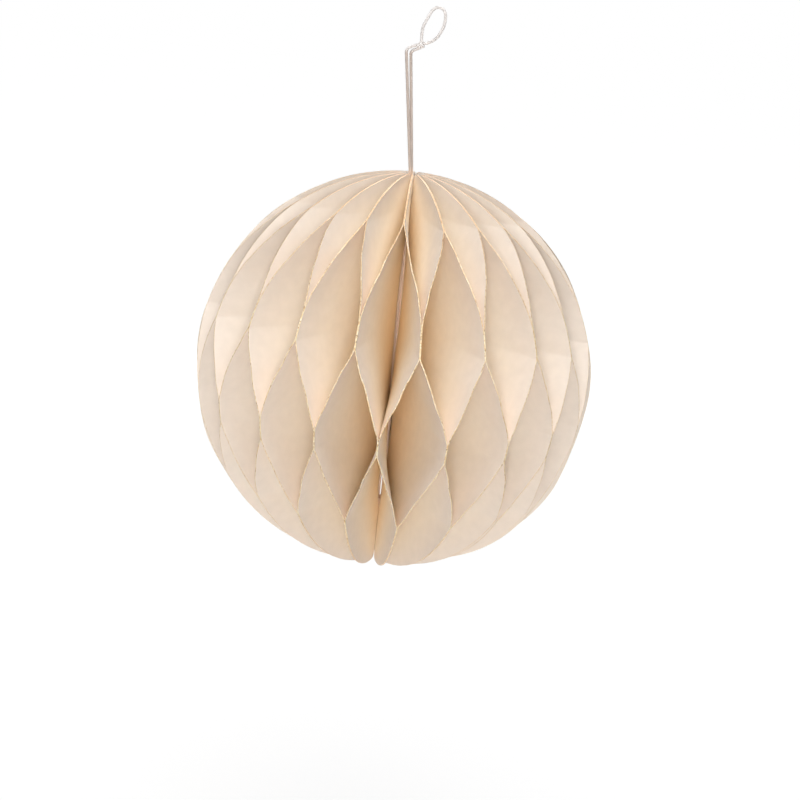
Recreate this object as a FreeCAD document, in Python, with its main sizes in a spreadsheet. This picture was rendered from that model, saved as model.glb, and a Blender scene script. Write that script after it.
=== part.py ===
import FreeCAD, Part
import math
import os

Vector = FreeCAD.Vector
Rotation = FreeCAD.Rotation
Placement = FreeCAD.Placement

# A ball of forty half-disc paper leaves round a hollow spine, which hangs on a doubled cord.
# Each leaf is glued to the leaf on one side in rows one and three, and to the leaf on its other side
# in rows two and four, so the open leaves zigzag and leave diamond-like cells between them.
# Origin: the ball's centre. Z runs along the spine, and the front line of rows one and three faces -Y.
# Lengths are millimetres and angles are degrees.

# Driving dimensions: alias, value, what it is
DIMENSIONS = (
    ("ball_radius", 75.0, "ball's centre to the leaves' gilt edges"),
    ("columns", 20, "glue lines round the ball in one row, half as many as leaves"),
    ("leaf_thickness", 0.3, "card of one leaf"),
    ("leaf_corner_radius", 2.5, "rounded leaf corners, which leave a dimple at each pole"),
    ("spine_clearance", 0.4, "room past the radius where the leaves' inner edges would jam"),
    ("neck_end", 56.0, "height down to which the hollow spine stays that narrow, at either pole"),
    ("flare_length", 12.0, "height over which the hollow spine then widens"),
    ("waist_depth", 4.3, "how much wider its radius is between the two flares"),
    ("row_one_end", 61.2, "height of the lower end of the glued strip at the top pole"),
    ("row_two_top", 29.4, "height of the upper end of the second glued strip"),
    ("row_two_end", 19.9, "height of the lower end of the second glued strip"),
    ("row_three_top", -9.4, "height of the upper end of the third glued strip"),
    ("row_three_end", -17.1, "height of the lower end of the third glued strip"),
    ("row_four_top", -43.8, "height of the upper end of the glued strip at the bottom pole"),
    ("half_way_share", 0.35, "share of the first open stretch at which a leaf is half way across"),
    ("inner_fold_radius", 30.0, "first upright line along which an open stretch turns"),
    ("outer_fold_radius", 54.0, "second upright line along which an open stretch turns"),
    ("bulge_reach", 1.5, "how far a slack leaf stands out of the ball"),
    ("bulge_radius", 60.0, "radius of a slack leaf's edge where it stands out"),
    ("bulge_latitude", 42.0, "how far below the equator a slack leaf stands out most"),
    ("cord_diameter", 1.2, "cotton hanging cord"),
    ("knot_length", 3.6, "knot between the two strands and the small loop, end to end"),
    ("knot_thickness", 2.9, "the same knot across"),
    ("knot_slope", 30.0, "rise of the knot's long axis towards +X"),
    ("knot_end_share", 0.6, "width of a knot's ends as a share of its middle"),
    ("end_knot_length", 7.0, "knot of the cord's ends in the hollow spine, top to bottom"),
    ("end_knot_rise", 2.5, "middle of that knot above the lower neck, which it rests on"),
    ("end_knot_clearance", 0.15, "room between that knot and the leaves' inner edges"),
)

# Glue lines a little off their even places, by column: degrees towards the next column
ODD_ROW_TURNS = {17: 0.3, 18: 0.6, 0: -0.4, 1: 0.3, 2: 0.8, 3: 0.2, 4: -0.5}
EVEN_ROW_TURNS = {16: -0.5, 17: 0.4, 19: -0.4, 0: -0.5, 1: 0.3, 2: 0.3, 3: -0.5}

# Glued strips that end a little off their row's height, by column: millimetres upwards
ROW_ONE_END_SHIFTS = {1: -1.0}
ROW_TWO_TOP_SHIFTS = {17: -1.6, 18: 0.5, 0: -0.4, 1: -1.1, 2: 0.7, 3: 1.5}
ROW_TWO_END_SHIFTS = {16: -0.8, 19: 0.4, 0: -0.5, 3: -1.5}
ROW_THREE_TOP_SHIFTS = {17: 0.7, 0: -0.4, 1: -0.4, 3: 0.8}
ROW_THREE_END_SHIFTS = {17: -0.2, 18: -0.8, 19: 0.4, 0: 1.1, 2: 0.3, 3: -0.9}
ROW_FOUR_TOP_SHIFTS = {17: 0.5, 18: -1.2, 0: -0.7, 2: 1.5}

# Leaves that stand out at the lower right, with the share of the full reach that each has
SLACK_SHARES = {5: 0.5, 6: 0.5, 7: 1.0, 8: 1.0, 9: 1.0, 10: 1.0, 11: 1.0, 12: 1.0, 13: 0.5, 14: 0.5}

# The cord's route: two strands up through the hollow spine to the knot, and the small loop above it
LEFT_STRAND = (
    Vector(-0.7, -0.1, -53.5),
    Vector(-0.62, -0.3, 8.0),
    Vector(-0.9, -0.7, 73.0),
    Vector(-7.3, -0.4, 119.9),
    Vector(-5.2, -0.4, 121.2),
    Vector(-3.1, -0.4, 121.9),
)
RIGHT_STRAND = (
    Vector(0.7, 0.1, -53.5),
    Vector(0.62, 0.3, 8.0),
    Vector(-0.4, 0.7, 73.0),
    Vector(-5.5, 0.3, 119.3),
    Vector(-3.6, 0.3, 120.2),
    Vector(-1.9, 0.2, 121.0),
)
SMALL_LOOP = (
    Vector(-1.7, -0.5, 122.0),
    Vector(-2.6, -0.5, 127.0),
    Vector(-0.5, -0.1, 132.2),
    Vector(1.7, 0.1, 136.3),
    Vector(5.6, 0.3, 135.6),
    Vector(6.1, 0.4, 130.5),
    Vector(4.1, 0.5, 125.6),
    Vector(1.5, 0.6, 123.2),
    Vector(-1.1, 0.5, 122.4),
)
KNOT_CENTRE = Vector(-2.1, 0.0, 121.8)

# An arc of the cord's route starts this share of its shorter run before the corner
ARC_SHARE = 0.45

# A leaf's edge is drawn as straight cuts this many degrees long at most, and a corner as this many cuts
EDGE_STEP = 6.0
CORNER_STEPS = 3

# The knot in the hollow spine fits the flare over the lower neck, so the ball rests on it
END_KNOT_THICKNESS = ("2 * (Sizes.leaf_thickness / tan(180 deg / Sizes.columns)"
                      " + Sizes.spine_clearance - Sizes.end_knot_clearance"
                      " + Sizes.waist_depth * Sizes.end_knot_rise / Sizes.flare_length)")

UP = Vector(0, 0, 1)


def make_sizes(doc):
    """Put the driving dimensions into the document's spreadsheet."""
    sheet = doc.addObject("Spreadsheet::Sheet", "Sizes")
    for row, (alias, value, note) in enumerate(DIMENSIONS, start=1):
        sheet.set("A%d" % row, alias)
        sheet.set("B%d" % row, str(value))
        sheet.set("C%d" % row, note)
        sheet.setAlias("B%d" % row, alias)
    doc.recompute()
    return sheet


def edge_reach(sheet, latitude, slack_share):
    """Give the distance from the ball's centre to a leaf's edge at a latitude."""
    centre_reach = sheet.ball_radius + slack_share * sheet.bulge_reach - sheet.bulge_radius
    off_peak = math.radians(latitude + sheet.bulge_latitude)
    across = centre_reach * math.sin(off_peak)
    if not slack_share or abs(across) > sheet.bulge_radius:
        return sheet.ball_radius
    bulge = centre_reach * math.cos(off_peak) + math.sqrt(sheet.bulge_radius ** 2 - across ** 2)
    return max(sheet.ball_radius, bulge)


def outline_corner(sheet):
    """Give the centre and arc ends of the rounded corner between a leaf's inner edge and its arc."""
    radius = sheet.leaf_corner_radius
    across = neck_radius(sheet) + radius
    up = math.sqrt((sheet.ball_radius - radius) ** 2 - across ** 2)
    return Vector(across, 0, up), math.degrees(math.atan2(up, across))


def leaf_outline(sheet, folds, slack_share):
    """Draw a half disc in the XZ plane, cut back at the spine, with a point at each fold line's end."""
    centre, arc_end = outline_corner(sheet)
    corner = []
    for step in range(CORNER_STEPS):
        around = math.radians(180 + (arc_end - 180) * step / CORNER_STEPS)
        corner.append(centre + Vector(math.cos(around), 0, math.sin(around)) * sheet.leaf_corner_radius)
    stops = [arc_end]
    for height, turn, sides in folds:
        if abs(height) < centre.z:
            stops.append(math.degrees(math.asin(height / sheet.ball_radius)))
    stops.append(-arc_end)
    arc = []
    for upper, lower in zip(stops, stops[1:]):
        steps = math.ceil((upper - lower) / EDGE_STEP)
        for step in range(steps):
            latitude = upper + (lower - upper) * step / steps
            reach = edge_reach(sheet, latitude, slack_share)
            around = math.radians(latitude)
            arc.append(Vector(reach * math.cos(around), 0, reach * math.sin(around)))
    arc.append(Vector(arc[0].x, 0, -arc[0].z))
    neck = neck_radius(sheet)
    flare_start = Vector(neck + sheet.waist_depth, 0, sheet.neck_end - sheet.flare_length)
    inner_edge = [flare_start, Vector(neck, 0, sheet.neck_end)] + corner
    mirrored = [Vector(point.x, 0, -point.z) for point in reversed(inner_edge)]
    points = inner_edge + arc + mirrored
    return Part.makePolygon(points + [points[0]])


def glue_lines(sheet, leaf):
    """Give a leaf's two glue lines: turns of the odd and even rows, and each row's heights."""
    columns = int(sheet.columns)
    odd = ((leaf + 1) // 2) % columns
    even = leaf // 2
    pitch = 360.0 / columns
    odd_turn = ((leaf + 1) // 2) * pitch + ODD_ROW_TURNS.get(odd, 0.0)
    even_turn = (even + 0.5) * pitch + EVEN_ROW_TURNS.get(even, 0.0)
    heights = {
        "row_one_end": sheet.row_one_end + ROW_ONE_END_SHIFTS.get(odd, 0.0),
        "row_two_top": sheet.row_two_top + ROW_TWO_TOP_SHIFTS.get(even, 0.0),
        "row_two_end": sheet.row_two_end + ROW_TWO_END_SHIFTS.get(even, 0.0),
        "row_three_top": sheet.row_three_top + ROW_THREE_TOP_SHIFTS.get(odd, 0.0),
        "row_three_end": sheet.row_three_end + ROW_THREE_END_SHIFTS.get(odd, 0.0),
        "row_four_top": sheet.row_four_top + ROW_FOUR_TOP_SHIFTS.get(even, 0.0),
    }
    return odd_turn, even_turn, heights


def fold_lines(sheet, leaf):
    """List a leaf's level fold lines from the top down: height, turn, and where its two faces lie."""
    odd_turn, even_turn, height = glue_lines(sheet, leaf)
    middle_turn = (odd_turn + even_turn) / 2
    thickness = sheet.leaf_thickness
    lower_side = (0.0, thickness)
    upper_side = (-thickness, 0.0)
    odd_side = lower_side if odd_turn < even_turn else upper_side
    even_side = upper_side if odd_turn < even_turn else lower_side
    odd = (odd_turn - middle_turn, odd_side)
    even = (even_turn - middle_turn, even_side)
    half_way = (0.0, (-thickness / 2, thickness / 2))
    first_stretch = height["row_one_end"] - height["row_two_top"]
    half_way_height = height["row_one_end"] - sheet.half_way_share * first_stretch
    past_the_pole = sheet.ball_radius * 1.1
    return middle_turn, (
        (past_the_pole,) + odd,
        (height["row_one_end"],) + odd,
        (half_way_height,) + half_way,
        (height["row_two_top"],) + even,
        (height["row_two_end"],) + even,
        (height["row_three_top"],) + odd,
        (height["row_three_end"],) + odd,
        (height["row_four_top"],) + even,
        (-past_the_pole,) + even,
    )


def neck_radius(sheet):
    """Give the hollow spine's radius at the poles: as tight as the leaves can stand, and some room."""
    return sheet.leaf_thickness / math.tan(math.pi / sheet.columns) + sheet.spine_clearance


def facet(*points):
    """Make one flat face through the points."""
    return Part.Face(Part.makePolygon(list(points) + [points[0]]))


def folded_card(sheet, folds):
    """Make the folded card of one leaf, still wider than its outline, about the XZ plane."""
    reaches = (
        neck_radius(sheet) - sheet.spine_clearance / 2,
        sheet.inner_fold_radius,
        sheet.outer_fold_radius,
        sheet.ball_radius * 1.1,
    )
    levels = []
    for height, turn, sides in folds:
        outward = Rotation(UP, turn).multVec(Vector(1, 0, 0))
        sideways = Rotation(UP, turn).multVec(Vector(0, 1, 0))
        lines = []
        for side in sides:
            lines.append([outward * reach + sideways * side + UP * height for reach in reaches])
        levels.append(lines)
    faces = []
    last = len(reaches) - 1
    for above, below, upper, lower in zip(folds, folds[1:], levels, levels[1:]):
        level_strip = above[1] == below[1]
        for face in (0, 1):
            top, bottom = upper[face], lower[face]
            if level_strip:
                faces.append(facet(*(top + bottom[::-1])))
                continue
            for near in range(last):
                faces.append(facet(top[near], top[near + 1], bottom[near]))
                faces.append(facet(top[near + 1], bottom[near + 1], bottom[near]))
        for rim in (0, last):
            corners = (upper[0][rim], upper[1][rim], lower[1][rim], lower[0][rim])
            if level_strip:
                faces.append(facet(*corners))
            else:
                faces.append(facet(corners[0], corners[1], corners[3]))
                faces.append(facet(corners[1], corners[2], corners[3]))
    for first_face, second_face in (levels[0], levels[-1]):
        faces.append(facet(*(first_face + second_face[::-1])))
    card = Part.Solid(Part.Shell(faces))
    if card.Volume < 0:
        card.reverse()
    return card


def make_leaf(doc, sheet, leaf):
    """Fold one leaf's card, cut it to its outline and turn it to its place round the spine."""
    label = "leaf_%02d" % (leaf + 1)
    middle_turn, folds = fold_lines(sheet, leaf)
    card = doc.addObject("Part::Feature", label + "_card")
    card.Shape = folded_card(sheet, folds)
    outline = doc.addObject("Part::Feature", label + "_outline")
    outline.Shape = leaf_outline(sheet, folds, SLACK_SHARES.get(leaf, 0.0))
    die = doc.addObject("Part::Extrusion", label + "_die")
    die.Base = outline
    die.DirMode = "Custom"
    die.Dir = Vector(0, 1, 0)
    die.setExpression("LengthFwd", "Sizes.ball_radius / 2")
    die.Symmetric = True
    die.Solid = True
    cut = doc.addObject("Part::Common", label)
    cut.Label = label
    cut.Base = card
    cut.Tool = die
    cut.Placement = Placement(Vector(0, 0, 0), Rotation(UP, middle_turn - 90.0))
    return cut


def rounded_route(label, points, diameter):
    """Join straight runs by tangent arcs, each as large as its two runs allow."""
    edges = []
    start = points[0]
    for before, corner, after in zip(points, points[1:], points[2:]):
        arriving = corner - before
        leaving = after - corner
        turn = arriving.getAngle(leaving)
        cut_back = ARC_SHARE * min(arriving.Length, leaving.Length)
        radius = cut_back / math.tan(turn / 2)
        arriving.normalize()
        leaving.normalize()
        inward = leaving - arriving
        inward.normalize()
        arc_start = corner - arriving * cut_back
        arc_end = corner + leaving * cut_back
        arc_middle = corner + inward * (radius / math.cos(turn / 2) - radius)
        edges.append(Part.LineSegment(start, arc_start).toShape())
        edges.append(Part.Arc(arc_start, arc_middle, arc_end).toShape())
        start = arc_end
        print("%s: arc radius %.1f mm, %.1f diameters" % (label, radius, radius / diameter))
    edges.append(Part.LineSegment(start, points[-1]).toShape())
    return Part.Wire(edges)


def make_cord(doc, sheet, label, points):
    """Sweep the cord's round section along one route."""
    route = doc.addObject("Part::Feature", label + "_route")
    route.Shape = rounded_route(label, points, sheet.cord_diameter)
    section = doc.addObject("Part::Circle", label + "_section")
    section.setExpression("Radius", "Sizes.cord_diameter / 2")
    section.Placement = Placement(points[0], Rotation(UP, points[1] - points[0]))
    cord = doc.addObject("Part::Sweep", label)
    cord.Label = label
    cord.Sections = [section]
    cord.Spine = (route, ["Edge%d" % number for number in range(1, len(route.Shape.Edges) + 1)])
    cord.Solid = True
    doc.recompute()
    expected = math.pi * sheet.cord_diameter ** 2 / 4 * route.Shape.Length
    print("%s: length %.1f mm, volume over section times length %.4f" % (
        label, route.Shape.Length, cord.Shape.Volume / expected))
    return cord


def make_knot(doc, label, centre, along, length, thickness, cords):
    """Make a drawn-up knot, widest at its middle, with the bores that its strands fill."""
    halves = []
    for number, direction in enumerate((along, -along), start=1):
        half = doc.addObject("Part::Cone", "%s_half_%d" % (label, number))
        half.setExpression("Radius1", "(%s) / 2" % thickness)
        half.setExpression("Radius2", "(%s) / 2 * Sizes.knot_end_share" % thickness)
        half.setExpression("Height", "(%s) / 2" % length)
        half.Placement = Placement(centre, Rotation(UP, direction))
        halves.append(half)
    lump = doc.addObject("Part::MultiFuse", label + "_lump")
    lump.Shapes = halves
    strands = doc.addObject("Part::MultiFuse", label + "_strands")
    strands.Shapes = cords
    knot = doc.addObject("Part::Cut", label)
    knot.Label = label
    knot.Base = lump
    knot.Tool = strands
    return knot


def write_parts(doc, pieces):
    """Check every object of the document, then write each piece to its own file."""
    for item in doc.Objects:
        if "Invalid" in item.State or "Error" in item.State:
            raise RuntimeError("%s: %s" % (item.Label, item.State))
    for piece in pieces:
        if piece.Shape.isNull() or not piece.Shape.isValid() or len(piece.Shape.Solids) != 1:
            raise RuntimeError("%s is not one valid solid" % piece.Label)
    os.makedirs("parts", exist_ok=True)
    for piece in pieces:
        piece.Shape.exportStep("parts/%s.step" % piece.Label)
    print("%d pieces written" % len(pieces))


def main():
    doc = FreeCAD.newDocument("paper_ball")
    sheet = make_sizes(doc)
    pieces = []
    for leaf in range(2 * int(sheet.columns)):
        pieces.append(make_leaf(doc, sheet, leaf))
    left = make_cord(doc, sheet, "cord_left_strand", LEFT_STRAND)
    right = make_cord(doc, sheet, "cord_right_strand", RIGHT_STRAND)
    loop = make_cord(doc, sheet, "cord_loop", SMALL_LOOP)
    slope = math.radians(sheet.knot_slope)
    along_knot = Vector(math.cos(slope), 0, math.sin(slope))
    knot = make_knot(doc, "cord_knot", KNOT_CENTRE, along_knot,
                     "Sizes.knot_length", "Sizes.knot_thickness", [left, right, loop])
    end_knot = make_knot(doc, "cord_end_knot", UP * (sheet.end_knot_rise - sheet.neck_end), UP,
                         "Sizes.end_knot_length", END_KNOT_THICKNESS, [left, right])
    pieces += [left, right, loop, knot, end_knot]
    doc.recompute()
    write_parts(doc, pieces)


main()
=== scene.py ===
import math
import random

import bpy
import numpy as np
from bpy.props import FloatProperty, FloatVectorProperty, IntProperty, PointerProperty
from mathutils import Matrix, Vector


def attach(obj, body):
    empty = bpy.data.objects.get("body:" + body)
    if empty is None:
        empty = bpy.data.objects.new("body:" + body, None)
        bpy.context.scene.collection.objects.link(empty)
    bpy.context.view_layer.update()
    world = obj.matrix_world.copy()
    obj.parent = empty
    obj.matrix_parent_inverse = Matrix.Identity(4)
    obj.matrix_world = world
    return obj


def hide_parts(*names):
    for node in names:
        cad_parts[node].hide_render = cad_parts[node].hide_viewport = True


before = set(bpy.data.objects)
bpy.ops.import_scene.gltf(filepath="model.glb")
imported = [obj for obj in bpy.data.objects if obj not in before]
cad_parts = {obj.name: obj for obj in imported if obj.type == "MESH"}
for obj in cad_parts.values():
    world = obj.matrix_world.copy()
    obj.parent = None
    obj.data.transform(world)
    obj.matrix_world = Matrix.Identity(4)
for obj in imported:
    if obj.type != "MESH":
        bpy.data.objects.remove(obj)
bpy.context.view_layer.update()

bl_info = {
    "name": "Honeycomb Paper Ball",
    "version": (1, 0, 0),
    "blender": (4, 5, 0),
    "location": "View3D > Sidebar > Paper Ball",
    "description": "Folds forty half-disc card leaves into a honeycomb ball on a doubled cotton cord",
    "category": "Add Mesh",
}

MM = 0.001

# Heights of the glued strips' ends, from the ball's centre, in millimetres
ROW_ONE_END = 61.2
ROW_TWO_TOP = 29.4
ROW_TWO_END = 19.9
ROW_THREE_TOP = -9.4
ROW_THREE_END = -17.1
ROW_FOUR_TOP = -43.8

# Glue lines a little off their even places, by column: degrees towards the next column
ODD_ROW_TURNS = {17: 0.3, 18: 0.6, 0: -0.4, 1: 0.3, 2: 0.8, 3: 0.2, 4: -0.5}
EVEN_ROW_TURNS = {16: -0.5, 17: 0.4, 19: -0.4, 0: -0.5, 1: 0.3, 2: 0.3, 3: -0.5}

# Glued strips that end a little off their row's height, by column: millimetres upwards
ROW_ONE_END_SHIFTS = {1: -1.0}
ROW_TWO_TOP_SHIFTS = {17: -1.6, 18: 0.5, 0: -0.4, 1: -1.1, 2: 0.7, 3: 1.5}
ROW_TWO_END_SHIFTS = {16: -0.8, 19: 0.4, 0: -0.5, 3: -1.5}
ROW_THREE_TOP_SHIFTS = {17: 0.7, 0: -0.4, 1: -0.4, 3: 0.8}
ROW_THREE_END_SHIFTS = {17: -0.2, 18: -0.8, 19: 0.4, 0: 1.1, 2: 0.3, 3: -0.9}
ROW_FOUR_TOP_SHIFTS = {17: 0.5, 18: -1.2, 0: -0.7, 2: 1.5}

# Leaves that stand out at the lower right, with the share of the full reach that each has
SLACK_SHARES = {5: 0.5, 6: 0.5, 7: 1.0, 8: 1.0, 9: 1.0, 10: 1.0, 11: 1.0, 12: 1.0, 13: 0.5, 14: 0.5}
BULGE_REACH = 1.5
BULGE_RADIUS = 60.0
BULGE_LATITUDE = 42.0

# The leaves' outline, in millimetres: rounded corners at the poles and a hollow cut along the spine
CORNER_RADIUS = 2.5
NECK_CLEARANCE = 0.4
NECK_END = 56.0
FLARE_LENGTH = 12.0
WAIST_DEPTH = 4.3

# How a leaf leaves its glued strips in the three open stretches: above 1 it leaves the upper one faster
STRETCH_POWERS = (1.6, 1.1, 1.0)

# A fold is crisp at the gilt edge and softens into a bend towards the spine, in millimetres
CREASE_AT_EDGE = 0.2
CREASE_PER_DEPTH = 0.07
CREASE_SAMPLES = 9

# Open stretches wave by this share of their turn, over about this many millimetres
WAVE_SHARE = 0.02
WAVE_LENGTH = 19.0

# Rows of faces in each of a leaf's seven stretches from pole to pole, and columns from spine to edge
ROWS = (22, 28, 12, 26, 10, 24, 26)
STATIONS = 16

# How much closer the rows stand beside the folds than halfway between them: 0 for even rows
FOLD_CROWDING = 0.85

# The last columns' depths behind the gilt edge in millimetres, and how much of a narrow leaf they may take
EDGE_STATIONS = (0.0, 0.14, 0.6)
NARROW_SHARE = 0.25
EDGE_SHARE = 0.08
GILT_DEPTH = 0.01

# The cord's route in metres: two strands from the knot in the spine, and the small loop
LEFT_STRAND = (
    (-0.0007, -0.0001, -0.0535),
    (-0.00062, -0.0003, 0.0080),
    (-0.0009, -0.0007, 0.0730),
    (-0.0019, -0.0007, 0.0800),
    (-0.0069, -0.0004, 0.1174),
    (-0.0073, -0.0004, 0.1199),
    (-0.0052, -0.0004, 0.1212),
    (-0.0031, -0.0004, 0.1219),
)
RIGHT_STRAND = (
    (0.0007, 0.0001, -0.0535),
    (0.00062, 0.0003, 0.0080),
    (-0.0004, 0.0007, 0.0730),
    (-0.0012, 0.0007, 0.0800),
    (-0.0053, 0.0003, 0.1172),
    (-0.0055, 0.0003, 0.1193),
    (-0.0036, 0.0003, 0.1202),
    (-0.0019, 0.0002, 0.1210),
)
SMALL_LOOP = (
    (-0.0017, -0.0005, 0.1220),
    (-0.0026, -0.0005, 0.1270),
    (-0.0005, -0.0001, 0.1322),
    (0.0017, 0.0001, 0.1363),
    (0.0056, 0.0003, 0.1356),
    (0.0061, 0.0004, 0.1305),
    (0.0041, 0.0005, 0.1256),
    (0.0015, 0.0006, 0.1232),
    (-0.0011, 0.0005, 0.1224),
)

# The cord's make: each ply's radius as a share of the cord's thickness, and the length of one full twist
CORD_PLIES = 3
PLY_SHARE = 0.32
PLY_PITCH = 3.0 * MM
RING_STEP = 0.2 * MM
RING_SIDES = 8

# The knot under the small loop, which leans by its slope and is drawn tight, and the knot in the spine
KNOT_CENTRE = (-0.0021, 0.0, 0.1218)
KNOT_SLOPE = 30.0
KNOT_RADIUS = 0.85 * MM
KNOT_TURNS = 2.1
KNOT_PITCH = 1.1 * MM
KNOT_TIGHTNESS = 0.95
END_KNOT_CENTRE = (0.0, 0.0, -0.0535)
END_KNOT_RADIUS = 1.9 * MM
END_KNOT_TURNS = 4.2
END_KNOT_PITCH = 1.2 * MM
KNOT_POINTS_PER_TURN = 24
TUCK_SHARE = 1 / 6
TUCKED_RADIUS = 0.45

# Faces that meet at less than this angle are shaded as one smooth surface, in degrees
CARD_SMOOTH_ANGLE = 40.0
YARN_SMOOTH_ANGLE = 60.0

# Sizes of the materials' patterns, in millimetres. The real tooth, glitter and fibres are too fine to show,
# so they are drawn coarser than they are
MOTTLE_SIZE = 3.85
TOOTH_SIZE = 0.91
STRAY_GILT_SIZE = 0.714
STRAY_GILT_REACH = 0.09
GILT_FLAKE_SIZE = 0.385
FIBRE_LENGTH = 2.4
FIBRE_WIDTH = 0.06

# Where the card's colour changes, in millimetres behind the gilt edge: from the rim's to the middle one's,
# and on from that to the deep one's. The paler middle and the warmer deep ivory are painted light, for the
# light that falls into the cells and bounces warm between their walls
PAINTED_LIGHT_MIDDLE_DEPTHS = (2.0, 22.0)
PAINTED_LIGHT_DEEP_DEPTHS = (22.0, 66.0)

# Tints of the glitter's flakes, with the share of flakes up to each. The two darkest are painted shade, for
# the shadow between flakes
GILT_TINTS_AND_PAINTED_SHADE = (
    (0.0, "94703F"),
    (0.06, "B08A58"),
    (0.14, "E2BD85"),
    (0.45, "EFD6A8"),
    (0.75, "F8E8C6"),
    (1.0, "FFF6E0"),
)

# The gilt turns coppery towards both poles, between these distances from the middle, in metres
COPPER = "EDB887"
COPPER_HEIGHTS = (0.045, 0.074)
COPPER_SHARE = 0.75

# The cotton is painted warmer inside the ball, as painted light for the warm light that bounces between the
# cells. It is greyer between the ball's top and the bend, and plain past the bend. It changes between these
# heights, in metres
INNER_COTTON_PAINTED_LIGHT = "FFE0C4"
STRAND_GREY_COTTON = "DDD3CB"
BALL_TOP = (0.0745, 0.0775)
CORD_BEND = (0.1185, 0.1200)

# The floor's own glow to the camera, at two distances from its middle in metres: it is a little dimmer
# under the ball, so that the soft shadow shows, and white from the far distance on
FLOOR_DROP = 0.21
FLOOR_SIDE = 12.0
FLOOR_DISTANCES = (0.3, 1.5)
FLOOR_GLOWS = (0.86, 1.0)
FLOOR_SHADE = 0.22

# Soft square lamps: name, place and side in metres, watts and tint
LAMPS = (
    ("top_softbox", (0.0, -0.3, 1.1), 1.0, 9.2, (0.99, 1.0, 1.01)),
    ("back_softbox", (0.0, 1.0, 0.9), 0.8, 5.8, (1.0, 1.0, 1.0)),
    ("front_softbox", (0.05, -1.47, 0.32), 0.4, 4.9, (1.0, 1.0, 1.0)),
    ("low_front_softbox", (0.0, -1.5, -0.05), 0.3, 3.8, (1.0, 1.0, 1.0)),
    ("left_softbox", (-1.1, -0.6, 0.55), 0.8, 2.0, (1.0, 1.0, 1.0)),
    ("right_softbox", (1.1, -0.6, 0.55), 0.8, 1.3, (1.0, 1.0, 1.0)),
    ("low_reflector", (0.0, -0.5, -0.19), 0.35, 0.25, (1.0, 0.92, 0.88)),
)

# Light reaches the bottom of the pale cells only after many bounces between their walls
PAPER_BOUNCES = 10

# The camera, in the frame where the ball's centre is the origin: metres, degrees and millimetres of lens
CAMERA_DISTANCE = 0.7021
CAMERA_ELEVATION = 12.29
CAMERA_TURN = 1.61
CAMERA_ROLL = 5.89
CAMERA_LENS = 82.84
SENSOR_WIDTH = 36.0
IMAGE_SIDE = 800.0
BALL_CENTRE_PIXEL = (393.23, 368.11)


def linear(code):
    """Turn an sRGB hex colour into a linear colour."""
    channels = []
    for start in (0, 2, 4):
        value = int(code[start:start + 2], 16) / 255
        channels.append(value / 12.92 if value <= 0.04045 else ((value + 0.055) / 1.055) ** 2.4)
    return (*channels, 1.0)


class PaperBallSizes(bpy.types.PropertyGroup):
    """Sizes of the ball and its cord."""

    ball_radius: FloatProperty(
        name="Ball radius", description="From the ball's centre to the gilt edges",
        default=75 * MM, min=0.02, max=0.3, subtype="DISTANCE", unit="LENGTH")
    card_thickness: FloatProperty(
        name="Card thickness", description="Thickness of one leaf",
        default=0.3 * MM, min=0.0001, max=0.001, subtype="DISTANCE", unit="LENGTH")
    columns: IntProperty(
        name="Columns", description="Glue lines round the ball in one row, half as many as leaves",
        default=20, min=8, max=60)
    cord_diameter: FloatProperty(
        name="Cord diameter", description="Thickness of the twisted cotton cord",
        default=1.2 * MM, min=0.0005, max=0.004, subtype="DISTANCE", unit="LENGTH")


class PaperBallColours(bpy.types.PropertyGroup):
    """Colours of the card, its gilt edge and the cord."""

    card_rim: FloatVectorProperty(
        name="Card near the rim", description="Ivory of the card's coated faces next to the gilt edge",
        default=linear("F9EDE0"), size=4, subtype="COLOR", min=0, max=1)
    # Painted light: this paler ivory stands in for the light on the leaves halfway between rim and spine
    card_middle_painted_light: FloatVectorProperty(
        name="Card halfway in", description="Paler ivory of the card halfway between rim and spine",
        default=linear("FBF2E4"), size=4, subtype="COLOR", min=0, max=1)
    # Painted light: this warmer ivory stands in for the warm light that bounces between the cells' walls
    card_deep_painted_light: FloatVectorProperty(
        name="Card near the spine", description="Warmer ivory of the card deep in the cells",
        default=linear("FAE9CC"), size=4, subtype="COLOR", min=0, max=1)
    gilt: FloatVectorProperty(
        name="Gilt", description="Gold of the glitter on the cut edges",
        default=linear("F3DDB6"), size=4, subtype="COLOR", min=0, max=1)
    cotton: FloatVectorProperty(
        name="Cotton", description="Undyed cotton of the cord",
        default=linear("F7F1ED"), size=4, subtype="COLOR", min=0, max=1)


def sizes():
    """Give the sizes that the panel shows."""
    return bpy.context.scene.paper_ball_sizes


def colours():
    """Give the colours that the panel shows."""
    return bpy.context.scene.paper_ball_colours


def deselect_all():
    """Leave nothing selected and no object in edit mode."""
    if bpy.context.mode != "OBJECT":
        bpy.ops.object.mode_set(mode="OBJECT")
    bpy.ops.object.select_all(action="DESELECT")


def choose(item):
    """Select one object alone and make it the active one."""
    deselect_all()
    item.select_set(True)
    bpy.context.view_layer.objects.active = item


def add_node(tree, kind, settings=None, links=None):
    """Add a node, set its properties and input values, and link its inputs."""
    node = tree.nodes.new(kind)
    for name, value in (settings or {}).items():
        if isinstance(name, str) and hasattr(node, name):
            setattr(node, name, value)
        else:
            node.inputs[name].default_value = value
    for name, source in (links or {}).items():
        tree.links.new(source, node.inputs[name])
    return node


def new_material(name):
    """Start a material with its surface shader and give both, with the node tree."""
    material = bpy.data.materials.new(name)
    material.use_nodes = True
    tree = material.node_tree
    tree.nodes.clear()
    shader = tree.nodes.new("ShaderNodeBsdfPrincipled")
    output = tree.nodes.new("ShaderNodeOutputMaterial")
    tree.links.new(shader.outputs[0], output.inputs["Surface"])
    return material, tree, shader


def pattern_scale(size):
    """Turn a pattern's size in millimetres into a texture's scale on coordinates in metres."""
    return 1 / (size * MM)


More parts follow.
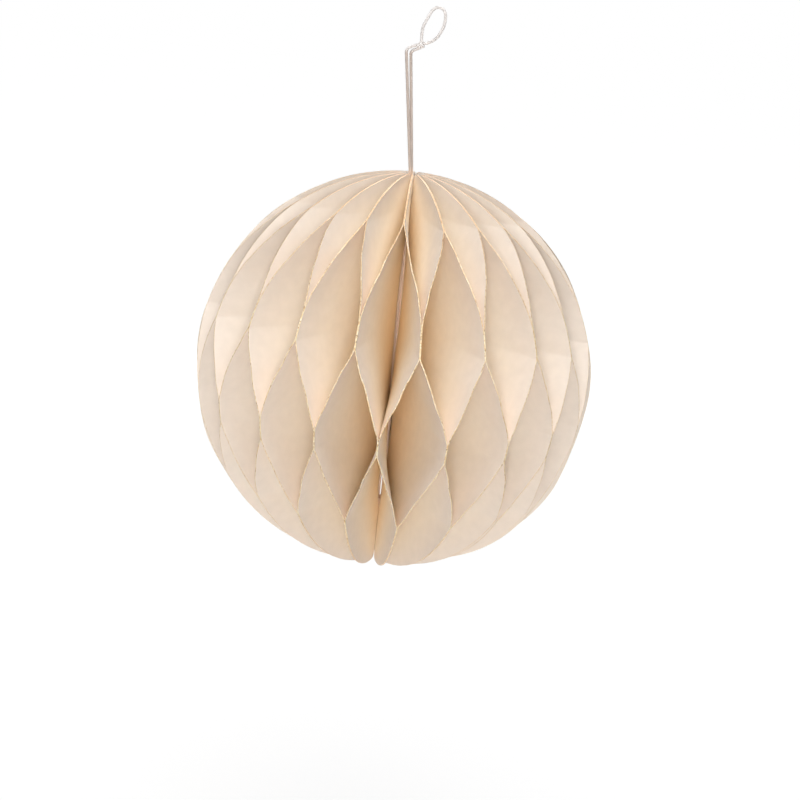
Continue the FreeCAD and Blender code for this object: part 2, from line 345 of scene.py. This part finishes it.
def change_over(tree, source, between, values=(0.0, 1.0), curve="LINEAR"):
    """Change a value from one to the other while its source goes from one limit to the next."""
    change = add_node(tree, "ShaderNodeMapRange", {1: between[0], 2: between[1], 3: values[0], 4: values[1],
                                                   "interpolation_type": curve}, {0: source})
    return change.outputs[0]


def seen_directly(tree):
    """Give 1 for rays by which the camera, a gloss or a glass sees a thing, and 0 for those that light it."""
    path = add_node(tree, "ShaderNodeLightPath")
    glossy = add_node(tree, "ShaderNodeMath", {"operation": "MAXIMUM"},
                      {0: path.outputs["Is Camera Ray"], 1: path.outputs["Is Glossy Ray"]})
    seen = add_node(tree, "ShaderNodeMath", {"operation": "MAXIMUM"},
                    {0: glossy.outputs[0], 1: path.outputs["Is Transmission Ray"]})
    return seen.outputs[0]


def coated_ivory_card():
    """Smooth matt coated card: a faint mottle, fine tooth, gilt powder strayed past the cut edge, and painted
    light that makes the ivory paler halfway in and warmer deep in the cells.
    """
    material, tree, shader = new_material("coated_ivory_card")
    place = add_node(tree, "ShaderNodeTexCoord")
    sheet = place.outputs["UV"]
    mottle = add_node(tree, "ShaderNodeTexNoise", {"Scale": pattern_scale(MOTTLE_SIZE), "Detail": 4.0},
                      {"Vector": sheet})
    tone = change_over(tree, mottle.outputs["Fac"], (0.3, 0.7), (0.975, 1.02))
    edge = add_node(tree, "ShaderNodeAttribute", {"attribute_name": "edge_mm"}).outputs["Fac"]
    # Painted light: the ivory turns paler halfway in and warmer deep in the cells, for the light that falls
    # in and bounces between the walls
    halfway = change_over(tree, edge, PAINTED_LIGHT_MIDDLE_DEPTHS, curve="SMOOTHSTEP")
    ivory_with_painted_light = add_node(tree, "ShaderNodeMix", {"data_type": "RGBA", 6: colours().card_rim[:],
                                                   7: colours().card_middle_painted_light[:]}, {0: halfway})
    deep = change_over(tree, edge, PAINTED_LIGHT_DEEP_DEPTHS, curve="SMOOTHSTEP")
    ivory = add_node(tree, "ShaderNodeMix", {"data_type": "RGBA", 7: colours().card_deep_painted_light[:]},
                     {0: deep, 6: ivory_with_painted_light.outputs[2]})
    card = add_node(tree, "ShaderNodeMix", {"data_type": "RGBA", "blend_type": "MULTIPLY", 0: 1.0},
                    {6: ivory.outputs[2], 7: tone})
    stray = add_node(tree, "ShaderNodeTexNoise", {"Scale": pattern_scale(STRAY_GILT_SIZE), "Detail": 2.0},
                     {"Vector": place.outputs["Object"]})
    reach = change_over(tree, stray.outputs["Fac"], (0.35, 0.65), (0.0, STRAY_GILT_REACH))
    gilt = add_node(tree, "ShaderNodeMath", {"operation": "LESS_THAN"}, {0: edge, 1: reach})
    colour = add_node(tree, "ShaderNodeMix", {"data_type": "RGBA", 7: colours().gilt[:]},
                      {0: gilt.outputs[0], 6: card.outputs[2]})
    tooth = add_node(tree, "ShaderNodeTexNoise", {"Scale": pattern_scale(TOOTH_SIZE), "Detail": 5.0},
                     {"Vector": sheet})
    bump = add_node(tree, "ShaderNodeBump", {"Strength": 0.12, "Distance": 0.00005},
                    {"Height": tooth.outputs["Fac"]})
    shader.inputs["Roughness"].default_value = 0.72
    shader.inputs["Specular IOR Level"].default_value = 0.25
    tree.links.new(colour.outputs[2], shader.inputs["Base Color"])
    tree.links.new(bump.outputs[0], shader.inputs["Normal"])
    return material


def glitter_gilt_edge():
    """Gold glitter powder on the cut edge: metal flakes that each tilt and tint their own way, a few painted
    dark as the shadow between flakes.
    """
    material, tree, shader = new_material("glitter_gilt_edge")
    place = add_node(tree, "ShaderNodeTexCoord")
    flakes = add_node(tree, "ShaderNodeTexVoronoi", {"Scale": pattern_scale(GILT_FLAKE_SIZE)},
                      {"Vector": place.outputs["Object"]})
    tint = add_node(tree, "ShaderNodeSeparateColor", {}, {0: flakes.outputs["Color"]})
    # Painted shade: the ramp's darkest tints stand in for the shadow between the flakes
    ramp = add_node(tree, "ShaderNodeValToRGB", {}, {0: tint.outputs[0]})
    bands = ramp.color_ramp.elements
    bands[0].color = linear(GILT_TINTS_AND_PAINTED_SHADE[0][1])
    bands[1].color = linear(GILT_TINTS_AND_PAINTED_SHADE[-1][1])
    for position, code in GILT_TINTS_AND_PAINTED_SHADE[1:-1]:
        band = bands.new(position)
        band.color = linear(code)
    bump = add_node(tree, "ShaderNodeBump", {"Strength": 0.6, "Distance": 0.0001},
                    {"Height": tint.outputs[1]})
    height = add_node(tree, "ShaderNodeSeparateXYZ", {}, {0: place.outputs["Object"]})
    off_middle = add_node(tree, "ShaderNodeMath", {"operation": "ABSOLUTE"}, {0: height.outputs["Z"]})
    copper = change_over(tree, off_middle.outputs[0], COPPER_HEIGHTS, (0.0, COPPER_SHARE))
    colour = add_node(tree, "ShaderNodeMix", {"data_type": "RGBA", 7: linear(COPPER)},
                      {0: copper, 6: ramp.outputs[0]})
    shader.inputs["Metallic"].default_value = 0.2
    shader.inputs["Roughness"].default_value = 0.42
    tree.links.new(colour.outputs[2], shader.inputs["Base Color"])
    tree.links.new(bump.outputs[0], shader.inputs["Normal"])
    return material


def twisted_cotton():
    """Undyed cotton yarn: matt, with fibres that run along each ply, some lighter and some greyer."""
    material, tree, shader = new_material("twisted_cotton")
    diameter = sizes().cord_diameter / MM
    round_ply = 2 * math.pi * PLY_SHARE * diameter
    place = add_node(tree, "ShaderNodeTexCoord")
    along = add_node(tree, "ShaderNodeMapping",
                     {"Scale": (diameter / FIBRE_LENGTH, round_ply / FIBRE_WIDTH, 1.0)},
                     {"Vector": place.outputs["UV"]})
    fibre = add_node(tree, "ShaderNodeTexNoise", {"Scale": 1.0, "Detail": 4.0}, {"Vector": along.outputs[0]})
    tone = change_over(tree, fibre.outputs["Fac"], (0.3, 0.7), (0.86, 1.05))
    cotton_tone = add_node(tree, "ShaderNodeMix", {"data_type": "RGBA", "blend_type": "MULTIPLY", 0: 1.0,
                                                   6: colours().cotton[:]}, {7: tone})
    height = add_node(tree, "ShaderNodeSeparateXYZ", {}, {0: place.outputs["Object"]}).outputs["Z"]
    above_ball = change_over(tree, height, BALL_TOP)
    # Painted light: inside the ball the cord is painted warmer, for the warm light bouncing between the cells
    # round the spine
    inner = add_node(tree, "ShaderNodeMix", {"data_type": "RGBA", 6: linear(INNER_COTTON_PAINTED_LIGHT)},
                     {0: above_ball, 7: cotton_tone.outputs[2]})
    # Between the ball's top and the bend the cotton is painted greyer
    below_bend = change_over(tree, height, CORD_BEND, (1.0, 0.0))
    grey_stretch = add_node(tree, "ShaderNodeMath", {"operation": "MULTIPLY"}, {0: above_ball, 1: below_bend})
    colour = add_node(tree, "ShaderNodeMix", {"data_type": "RGBA", "blend_type": "MULTIPLY",
                                              7: linear(STRAND_GREY_COTTON)},
                      {0: grey_stretch.outputs[0], 6: inner.outputs[2]})
    bump = add_node(tree, "ShaderNodeBump", {"Strength": 0.5, "Distance": 0.00006},
                    {"Height": fibre.outputs["Fac"]})
    shader.inputs["Roughness"].default_value = 0.9
    shader.inputs["Sheen Weight"].default_value = 0.3
    tree.links.new(colour.outputs[2], shader.inputs["Base Color"])
    tree.links.new(bump.outputs[0], shader.inputs["Normal"])
    return material


def studio_floor():
    """Pale matt floor: white to the camera with the soft shadow kept, and plain pale paper to other light."""
    material, tree, shader = new_material("matt_pale_floor")
    shader.inputs["Base Color"].default_value = linear("ECECEC")
    shader.inputs["Roughness"].default_value = 0.9
    place = add_node(tree, "ShaderNodeTexCoord")
    distance = add_node(tree, "ShaderNodeVectorMath", {"operation": "LENGTH"},
                        {0: place.outputs["Object"]})
    strength = change_over(tree, distance.outputs["Value"], FLOOR_DISTANCES, FLOOR_GLOWS)
    glow = add_node(tree, "ShaderNodeEmission", {"Color": (1, 1, 1, 1)}, {"Strength": strength})
    shade = add_node(tree, "ShaderNodeBsdfDiffuse", {"Color": (FLOOR_SHADE, FLOOR_SHADE, FLOOR_SHADE, 1)})
    white = add_node(tree, "ShaderNodeAddShader", {}, {0: glow.outputs[0], 1: shade.outputs[0]})
    mixed = add_node(tree, "ShaderNodeMixShader", {}, {0: seen_directly(tree), 1: shader.outputs[0],
                                                       2: white.outputs[0]})
    tree.links.new(mixed.outputs[0], tree.nodes["Material Output"].inputs["Surface"])
    return material


def place_camera():
    """Put the camera where the photographer stood, a little above the ball and tilted."""
    data = bpy.data.cameras.new("photo_camera")
    camera = bpy.data.objects.new("photo_camera", data)
    bpy.context.scene.collection.objects.link(camera)
    data.sensor_width = SENSOR_WIDTH
    data.lens = CAMERA_LENS
    data.shift_x = (IMAGE_SIDE / 2 - BALL_CENTRE_PIXEL[0]) / IMAGE_SIDE
    data.shift_y = (BALL_CENTRE_PIXEL[1] - IMAGE_SIDE / 2) / IMAGE_SIDE
    turn = math.radians(CAMERA_TURN)
    rise = math.radians(CAMERA_ELEVATION)
    roll = math.radians(CAMERA_ROLL)
    back = Vector((math.sin(turn) * math.cos(rise), -math.cos(turn) * math.cos(rise), math.sin(rise)))
    right = Vector((math.cos(turn), math.sin(turn), 0))
    up = back.cross(right)
    tilted_up = up * math.cos(roll) - right * math.sin(roll)
    tilted_right = tilted_up.cross(back)
    rotation = Matrix((tilted_right, tilted_up, back)).transposed()
    camera.matrix_world = Matrix.Translation(back * CAMERA_DISTANCE) @ rotation.to_4x4()
    data.clip_start = 0.01
    data.clip_end = 50.0
    bpy.context.scene.camera = camera


def area_lamp(name, place, side, watts, tint):
    """Hang a square soft lamp that points at the ball."""
    data = bpy.data.lights.new(name, "AREA")
    data.size = side
    data.energy = watts
    data.color = tint
    lamp = bpy.data.objects.new(name, data)
    bpy.context.scene.collection.objects.link(lamp)
    lamp.location = place
    lamp.rotation_euler = Vector(place).to_track_quat("Z", "Y").to_euler()


def set_stage():
    """Lay the floor, light the room and place the camera."""
    deselect_all()
    bpy.ops.mesh.primitive_plane_add(size=FLOOR_SIDE, location=(0, 0, -FLOOR_DROP))
    floor = bpy.context.object
    floor.name = "studio_floor"
    floor.data.materials.append(studio_floor())
    for name, place, side, watts, tint in LAMPS:
        area_lamp(name, place, side, watts, tint)
    world = bpy.data.worlds.new("studio_room")
    bpy.context.scene.world = world
    world.use_nodes = True
    tree = world.node_tree
    tree.nodes.clear()
    room = add_node(tree, "ShaderNodeBackground", {"Color": (1, 1, 1, 1)}, {"Strength": seen_directly(tree)})
    output = tree.nodes.new("ShaderNodeOutputWorld")
    tree.links.new(room.outputs[0], output.inputs["Surface"])
    place_camera()
    bpy.context.scene.view_settings.view_transform = "Standard"
    bpy.context.scene.cycles.max_bounces = PAPER_BOUNCES
    bpy.context.scene.cycles.diffuse_bounces = PAPER_BOUNCES


def neck_radius():
    """Give the hollow spine's radius at the poles, in millimetres."""
    thickness = sizes().card_thickness / MM
    return thickness / math.tan(math.pi / sizes().columns) + NECK_CLEARANCE


def corner_centre():
    """Give the distance from the spine and the height of the centre of a leaf's rounded corner."""
    across = neck_radius() + CORNER_RADIUS
    return across, math.sqrt((sizes().ball_radius / MM - CORNER_RADIUS) ** 2 - across ** 2)


def edge_reach(height, slack_share):
    """Give the distance from the ball's centre to a leaf's edge at each height."""
    ball = sizes().ball_radius / MM
    reach = np.full_like(height, ball)
    if not slack_share:
        return reach
    centre_reach = ball + slack_share * BULGE_REACH - BULGE_RADIUS
    # Each pass starts from a better latitude, and four are enough to settle
    for _ in range(4):
        latitude = np.arcsin(np.clip(height / reach, -1, 1))
        off_peak = latitude + math.radians(BULGE_LATITUDE)
        across = centre_reach * np.sin(off_peak)
        inside = np.clip(BULGE_RADIUS ** 2 - across ** 2, 0, None)
        reach = np.maximum(ball, centre_reach * np.cos(off_peak) + np.sqrt(inside))
    return reach


def outer_edge(height, slack_share):
    """Give a leaf's width out from the spine at each height: the ball's arc and the rounded corners."""
    across, up = corner_centre()
    reach = edge_reach(height, slack_share)
    arc = np.sqrt(np.clip(reach ** 2 - height ** 2, 0, None))
    rise = np.abs(height) - up
    corner = across + np.sqrt(np.clip(CORNER_RADIUS ** 2 - rise ** 2, 0, None))
    tangent_height = up * (sizes().ball_radius / MM) / (sizes().ball_radius / MM - CORNER_RADIUS)
    return np.where(np.abs(height) > tangent_height, corner, arc)


def inner_edge(height):
    """Give where a leaf starts from the spine at each height: the neck, the flare and the waist."""
    across, up = corner_centre()
    rise = np.clip(np.abs(height) - up, 0, CORNER_RADIUS)
    corner = across - np.sqrt(CORNER_RADIUS ** 2 - rise ** 2)
    share = np.clip((NECK_END - np.abs(height)) / FLARE_LENGTH, 0, 1)
    return corner + WAIST_DEPTH * share * share * (3 - 2 * share)


def glue_lines(leaf):
    """Give a leaf's two glue lines: turns of the odd and even rows, and the strips' ends."""
    columns = sizes().columns
    odd = ((leaf + 1) // 2) % columns
    even = leaf // 2
    pitch = 360 / columns
    odd_turn = ((leaf + 1) // 2) * pitch + ODD_ROW_TURNS.get(odd, 0.0)
    even_turn = (even + 0.5) * pitch + EVEN_ROW_TURNS.get(even, 0.0)
    ends = (
        ROW_ONE_END + ROW_ONE_END_SHIFTS.get(odd, 0.0),
        ROW_TWO_TOP + ROW_TWO_TOP_SHIFTS.get(even, 0.0),
        ROW_TWO_END + ROW_TWO_END_SHIFTS.get(even, 0.0),
        ROW_THREE_TOP + ROW_THREE_TOP_SHIFTS.get(odd, 0.0),
        ROW_THREE_END + ROW_THREE_END_SHIFTS.get(odd, 0.0),
        ROW_FOUR_TOP + ROW_FOUR_TOP_SHIFTS.get(even, 0.0),
    )
    return odd_turn, even_turn, ends


def open_share(height, ends):
    """Give how far each height has turned from the odd rows' glue line (0) to the even rows' (1)."""
    share = np.zeros_like(height)
    for number, power in enumerate(STRETCH_POWERS):
        upper, lower = ends[2 * number], ends[2 * number + 1]
        down = np.clip((upper - height) / (upper - lower), 0, 1)
        turned = 1 - (1 - down) ** power
        share = share + (turned if number % 2 == 0 else -turned)
    return share


def level_heights(ends):
    """List a leaf's levels from the top down, closer together at the poles and beside the folds."""
    ball = sizes().ball_radius / MM
    top = corner_centre()[1] + CORNER_RADIUS - 0.01
    pole_angle = math.acos(top / ball)
    heights = []
    for stretch, rows in enumerate(ROWS):
        last = stretch == len(ROWS) - 1
        steps = np.arange(rows + last) / rows
        steps = steps - FOLD_CROWDING * np.sin(2 * math.pi * steps) / (2 * math.pi)
        if stretch == 0:
            heights.append(ball * np.cos(pole_angle + (math.acos(ends[0] / ball) - pole_angle) * steps))
        elif last:
            start = math.acos(-ends[-1] / ball)
            heights.append(-ball * np.cos(start + (pole_angle - start) * steps))
        else:
            upper, lower = ends[stretch - 1], ends[stretch]
            heights.append(upper + (lower - upper) * steps)
    return np.concatenate(heights)


def cut_blank():
    """Add the grid of faces that every leaf is folded from."""
    deselect_all()
    bpy.ops.mesh.primitive_grid_add(x_subdivisions=STATIONS, y_subdivisions=sum(ROWS), size=2)
    blank = bpy.context.object
    blank.name = "leaf_blank"
    return blank


def leaf_points(leaf, row, station):
    """Fold one leaf: give its points, its flat sheet's coordinates and their depths behind the gilt edge."""
    odd_turn, even_turn, ends = glue_lines(leaf)
    slack = SLACK_SHARES.get(leaf, 0.0)
    height = level_heights(ends)[row]
    inner = inner_edge(height)
    outer = outer_edge(height, slack)
    width = outer - inner
    inside_share = np.clip(station / (STATIONS + 1 - len(EDGE_STATIONS)), 0, 1)
    across = inner + (width - np.minimum(EDGE_STATIONS[-1], width * NARROW_SHARE)) * inside_share
    for number, depth in enumerate(EDGE_STATIONS):
        at_edge = station == STATIONS - number
        across = np.where(at_edge, outer - np.minimum(depth, width * EDGE_SHARE * number), across)
    depth_from_edge = edge_reach(height, slack) - np.hypot(across, height)
    crease = CREASE_AT_EDGE + CREASE_PER_DEPTH * np.clip(depth_from_edge, 0, None)
    share = np.zeros_like(height)
    for sample in np.linspace(-1, 1, CREASE_SAMPLES):
        share += open_share(height + sample * crease, ends) / CREASE_SAMPLES
    chance = random.Random(leaf + 1)
    wave = np.zeros_like(height)
    for harmonic in (1, 2):
        phase = chance.uniform(0, 2 * math.pi)
        wave += np.sin(height * 2 * math.pi * harmonic / WAVE_LENGTH + phase) / harmonic
    share += WAVE_SHARE * 4 * share * (1 - share) * wave
    side = 1 if odd_turn < even_turn else -1
    offset = side * (0.5 - share) * sizes().card_thickness / MM
    # The turns count from the front, where -Y is
    turn = np.radians(odd_turn + (even_turn - odd_turn) * share - 90)
    folded = np.stack((across * np.cos(turn) - offset * np.sin(turn),
                       across * np.sin(turn) + offset * np.cos(turn), height), axis=1) * MM
    return folded, np.stack((across, height), axis=1) * MM, outer - across


def fold_leaf(blank, leaf, card, gilt):
    """Copy the blank, give it one leaf's outline and folds, and thicken it into card."""
    node = "leaf_%02d" % (leaf + 1)
    piece = blank.copy()
    piece.data = blank.data.copy()
    piece.name = node + "_card"
    bpy.context.scene.collection.objects.link(piece)
    mesh = piece.data
    flat = np.empty(len(mesh.vertices) * 3)
    mesh.vertices.foreach_get("co", flat)
    flat = flat.reshape(-1, 3)
    row = np.rint((1 - flat[:, 1]) / 2 * sum(ROWS)).astype(int)
    station = np.rint((flat[:, 0] + 1) / 2 * STATIONS).astype(int)
    folded, sheet, depth = leaf_points(leaf, row, station)
    mesh.vertices.foreach_set("co", folded.ravel())
    edge = mesh.attributes.new("edge_mm", "FLOAT", "POINT")
    edge.data.foreach_set("value", depth)
    corners = np.empty(len(mesh.loops), dtype=int)
    mesh.loops.foreach_get("vertex_index", corners)
    mesh.uv_layers.active.data.foreach_set("uv", sheet[corners].ravel())
    mesh.materials.append(card)
    mesh.materials.append(gilt)
    choose(piece)
    bpy.ops.object.modifier_add(type="SOLIDIFY")
    wall = piece.modifiers[-1]
    wall.thickness = sizes().card_thickness
    wall.offset = 0
    wall.material_offset_rim = 1
    bpy.ops.object.modifier_apply(modifier=wall.name)
    # The rim along the spine is a plain cut, so it gets the card's material back
    depths = piece.data.attributes["edge_mm"].data
    for face in piece.data.polygons:
        if face.material_index == 1 and min(depths[vertex].value for vertex in face.vertices) > GILT_DEPTH:
            face.material_index = 0
    bpy.ops.object.shade_smooth_by_angle(angle=math.radians(CARD_SMOOTH_ANGLE))
    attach(piece, "root")
    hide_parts(node)


def fold_leaves():
    """Fold all the leaves from one blank."""
    card = coated_ivory_card()
    gilt = glitter_gilt_edge()
    blank = cut_blank()
    for leaf in range(2 * sizes().columns):
        fold_leaf(blank, leaf, card, gilt)
    choose(blank)
    bpy.ops.object.delete()


def smooth_route(points):
    """Lay a smooth spline through the route and read its points back."""
    data = bpy.data.curves.new("route", "CURVE")
    data.dimensions = "3D"
    spline = data.splines.new("NURBS")
    spline.points.add(len(points) - 1)
    for control, point in zip(spline.points, points):
        control.co = (*point, 1)
    spline.order_u = 3
    spline.use_endpoint_u = True
    spline.resolution_u = 24
    holder = bpy.data.objects.new("route", data)
    mesh = bpy.data.meshes.new_from_object(holder)
    line = np.array([vertex.co for vertex in mesh.vertices])
    bpy.data.meshes.remove(mesh)
    bpy.data.objects.remove(holder)
    bpy.data.curves.remove(data)
    return line


def even_steps(line, step):
    """Walk along a line in even steps."""
    lengths = np.concatenate(([0], np.cumsum(np.linalg.norm(np.diff(line, axis=0), axis=1))))
    count = max(2, int(round(lengths[-1] / step)))
    marks = np.linspace(0, lengths[-1], count + 1)
    return np.stack([np.interp(marks, lengths, line[:, axis]) for axis in range(3)], axis=1), marks


def side_directions(line):
    """Give two directions square to a line at each of its points, which turn as little as they can."""
    along = np.gradient(line, axis=0)
    along /= np.linalg.norm(along, axis=1)[:, None]
    first = np.cross(along[0], (0, 1, 0) if abs(along[0][1]) < 0.9 else (1, 0, 0))
    sides = []
    for direction in along:
        first = first - direction * np.dot(first, direction)
        first = first / np.linalg.norm(first)
        sides.append(first)
    sides = np.array(sides)
    return sides, np.cross(along, sides)


def twist_plies(name, line, diameter, material):
    """Twist plies of yarn round a line into one cord."""
    path, marks = even_steps(line, RING_STEP)
    first, second = side_directions(path)
    ply_radius = diameter * PLY_SHARE
    coil_radius = diameter / 2 - ply_radius
    around = np.arange(RING_SIDES) * 2 * math.pi / RING_SIDES
    vertices, faces, places = [], [], []
    for ply in range(CORD_PLIES):
        phase = 2 * math.pi * (marks / PLY_PITCH + ply / CORD_PLIES)
        core = path + coil_radius * (np.cos(phase)[:, None] * first + np.sin(phase)[:, None] * second)
        across, over = side_directions(core)
        start = len(vertices)
        for ring in range(len(core)):
            for angle in around:
                vertices.append(core[ring] + ply_radius * (math.cos(angle) * across[ring]
                                                           + math.sin(angle) * over[ring]))
        for ring in range(len(core) - 1):
            for side in range(RING_SIDES):
                following = (side + 1) % RING_SIDES
                base, above = start + ring * RING_SIDES, start + (ring + 1) * RING_SIDES
                faces.append((base + side, base + following, above + following, above + side))
                low, high = marks[ring] / diameter, marks[ring + 1] / diameter
                left, right = side / RING_SIDES, (side + 1) / RING_SIDES
                places += [(low, left), (low, right), (high, right), (high, left)]
        faces.append(tuple(start + side for side in reversed(range(RING_SIDES))))
        end = start + (len(core) - 1) * RING_SIDES
        faces.append(tuple(end + side for side in range(RING_SIDES)))
        places += [(0.0, 0.0)] * (2 * RING_SIDES)
    mesh = bpy.data.meshes.new(name)
    mesh.from_pydata([tuple(vertex) for vertex in vertices], [], faces)
    layer = mesh.uv_layers.new(name="along_ply")
    layer.data.foreach_set("uv", np.array(places).ravel())
    mesh.materials.append(material)
    cord = bpy.data.objects.new(name, mesh)
    bpy.context.scene.collection.objects.link(cord)
    choose(cord)
    bpy.ops.object.mode_set(mode="EDIT")
    bpy.ops.mesh.select_all(action="SELECT")
    bpy.ops.mesh.normals_make_consistent(inside=False)
    bpy.ops.object.mode_set(mode="OBJECT")
    bpy.ops.object.shade_smooth_by_angle(angle=math.radians(YARN_SMOOTH_ANGLE))
    return cord, path


def run_cord(node, points, material):
    cord, path = twist_plies(node + "_twist", smooth_route(points), sizes().cord_diameter, material)
    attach(cord, "root")
    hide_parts(node)


def wind_knot(node, name, centre, axis, radius, turns, pitch, diameter, material):
    """Wind the cord's turns round an axis, drawn up tight, and tuck in both ends."""
    axis = Vector(axis).normalized()
    first = axis.orthogonal().normalized()
    second = axis.cross(first)
    line = []
    steps = int(turns * KNOT_POINTS_PER_TURN)
    for step in range(steps + 1):
        share = step / steps
        angle = 2 * math.pi * turns * share
        tuck = min(1.0, share / TUCK_SHARE, (1 - share) / TUCK_SHARE)
        here = radius * (TUCKED_RADIUS + (1 - TUCKED_RADIUS) * math.sin(tuck * math.pi / 2))
        along = (share - 0.5) * turns * pitch
        aside = (first * math.cos(angle) + second * math.sin(angle)) * here
        line.append(Vector(centre) + axis * along + aside)
    knot, _ = twist_plies(name, np.array([tuple(point) for point in line]), diameter, material)
    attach(knot, "root")
    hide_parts(node)


def cotton():
    """Give the cord's material, made once."""
    return bpy.data.materials.get("twisted_cotton") or twisted_cotton()


class PAPERBALL_OT_set_stage(bpy.types.Operator):
    """Lay the floor, light the room and place the camera"""

    bl_idname = "paper_ball.set_stage"
    bl_label = "Set Stage"

    def execute(self, context):
        set_stage()
        return {"FINISHED"}


class PAPERBALL_OT_wind_knots(bpy.types.Operator):
    """Wind the knot under the small loop and the one inside the spine"""

    bl_idname = "paper_ball.wind_knots"
    bl_label = "Wind Knots"

    def execute(self, context):
        slope = math.radians(KNOT_SLOPE)
        wind_knot("cord_knot", "cord_knot_turns", KNOT_CENTRE, (math.cos(slope), 0, math.sin(slope)),
                  KNOT_RADIUS, KNOT_TURNS, KNOT_PITCH, sizes().cord_diameter * KNOT_TIGHTNESS, cotton())
        wind_knot("cord_end_knot", "cord_end_knot_turns", END_KNOT_CENTRE, (0, 0, 1),
                  END_KNOT_RADIUS, END_KNOT_TURNS, END_KNOT_PITCH, sizes().cord_diameter, cotton())
        return {"FINISHED"}


class PAPERBALL_OT_run_strands(bpy.types.Operator):
    """Run the cord's two strands from the spine to the knot"""

    bl_idname = "paper_ball.run_strands"
    bl_label = "Run Strands"

    def execute(self, context):
        run_cord("cord_left_strand", LEFT_STRAND, cotton())
        run_cord("cord_right_strand", RIGHT_STRAND, cotton())
        return {"FINISHED"}


class PAPERBALL_OT_run_loop(bpy.types.Operator):
    """Run the small hanging loop out of the knot and back"""

    bl_idname = "paper_ball.run_loop"
    bl_label = "Run Loop"

    def execute(self, context):
        run_cord("cord_loop", SMALL_LOOP, cotton())
        return {"FINISHED"}


class PAPERBALL_OT_fold_leaves(bpy.types.Operator):
    """Fold the forty card leaves from one blank"""

    bl_idname = "paper_ball.fold_leaves"
    bl_label = "Fold Leaves"

    def execute(self, context):
        fold_leaves()
        return {"FINISHED"}


class PAPERBALL_PT_build(bpy.types.Panel):
    """Sizes, colours and building steps of the paper ball."""

    bl_label = "Paper Ball"
    bl_idname = "PAPERBALL_PT_build"
    bl_space_type = "VIEW_3D"
    bl_region_type = "UI"
    bl_category = "Paper Ball"

    def draw(self, context):
        for group in (sizes(), colours()):
            box = self.layout.box()
            for name in group.__annotations__:
                box.prop(group, name)
        for step in BUILD_STEPS:
            self.layout.operator("paper_ball." + step)


BUILD_STEPS = ("set_stage", "wind_knots", "run_strands", "run_loop", "fold_leaves")
CLASSES = (
    PaperBallSizes,
    PaperBallColours,
    PAPERBALL_OT_set_stage,
    PAPERBALL_OT_wind_knots,
    PAPERBALL_OT_run_strands,
    PAPERBALL_OT_run_loop,
    PAPERBALL_OT_fold_leaves,
    PAPERBALL_PT_build,
)


def register():
    """Register the classes and hang the sizes and colours on the scene."""
    for item in CLASSES:
        bpy.utils.register_class(item)
    bpy.types.Scene.paper_ball_sizes = PointerProperty(type=PaperBallSizes)
    bpy.types.Scene.paper_ball_colours = PointerProperty(type=PaperBallColours)


def unregister():
    """Take the sizes, the colours and the classes away again."""
    del bpy.types.Scene.paper_ball_colours
    del bpy.types.Scene.paper_ball_sizes
    for item in reversed(CLASSES):
        bpy.utils.unregister_class(item)


def main():
    """Build the whole scene."""
    register()
    for step in BUILD_STEPS:
        getattr(bpy.ops.paper_ball, step)()


if __name__ == "__main__":
    main()
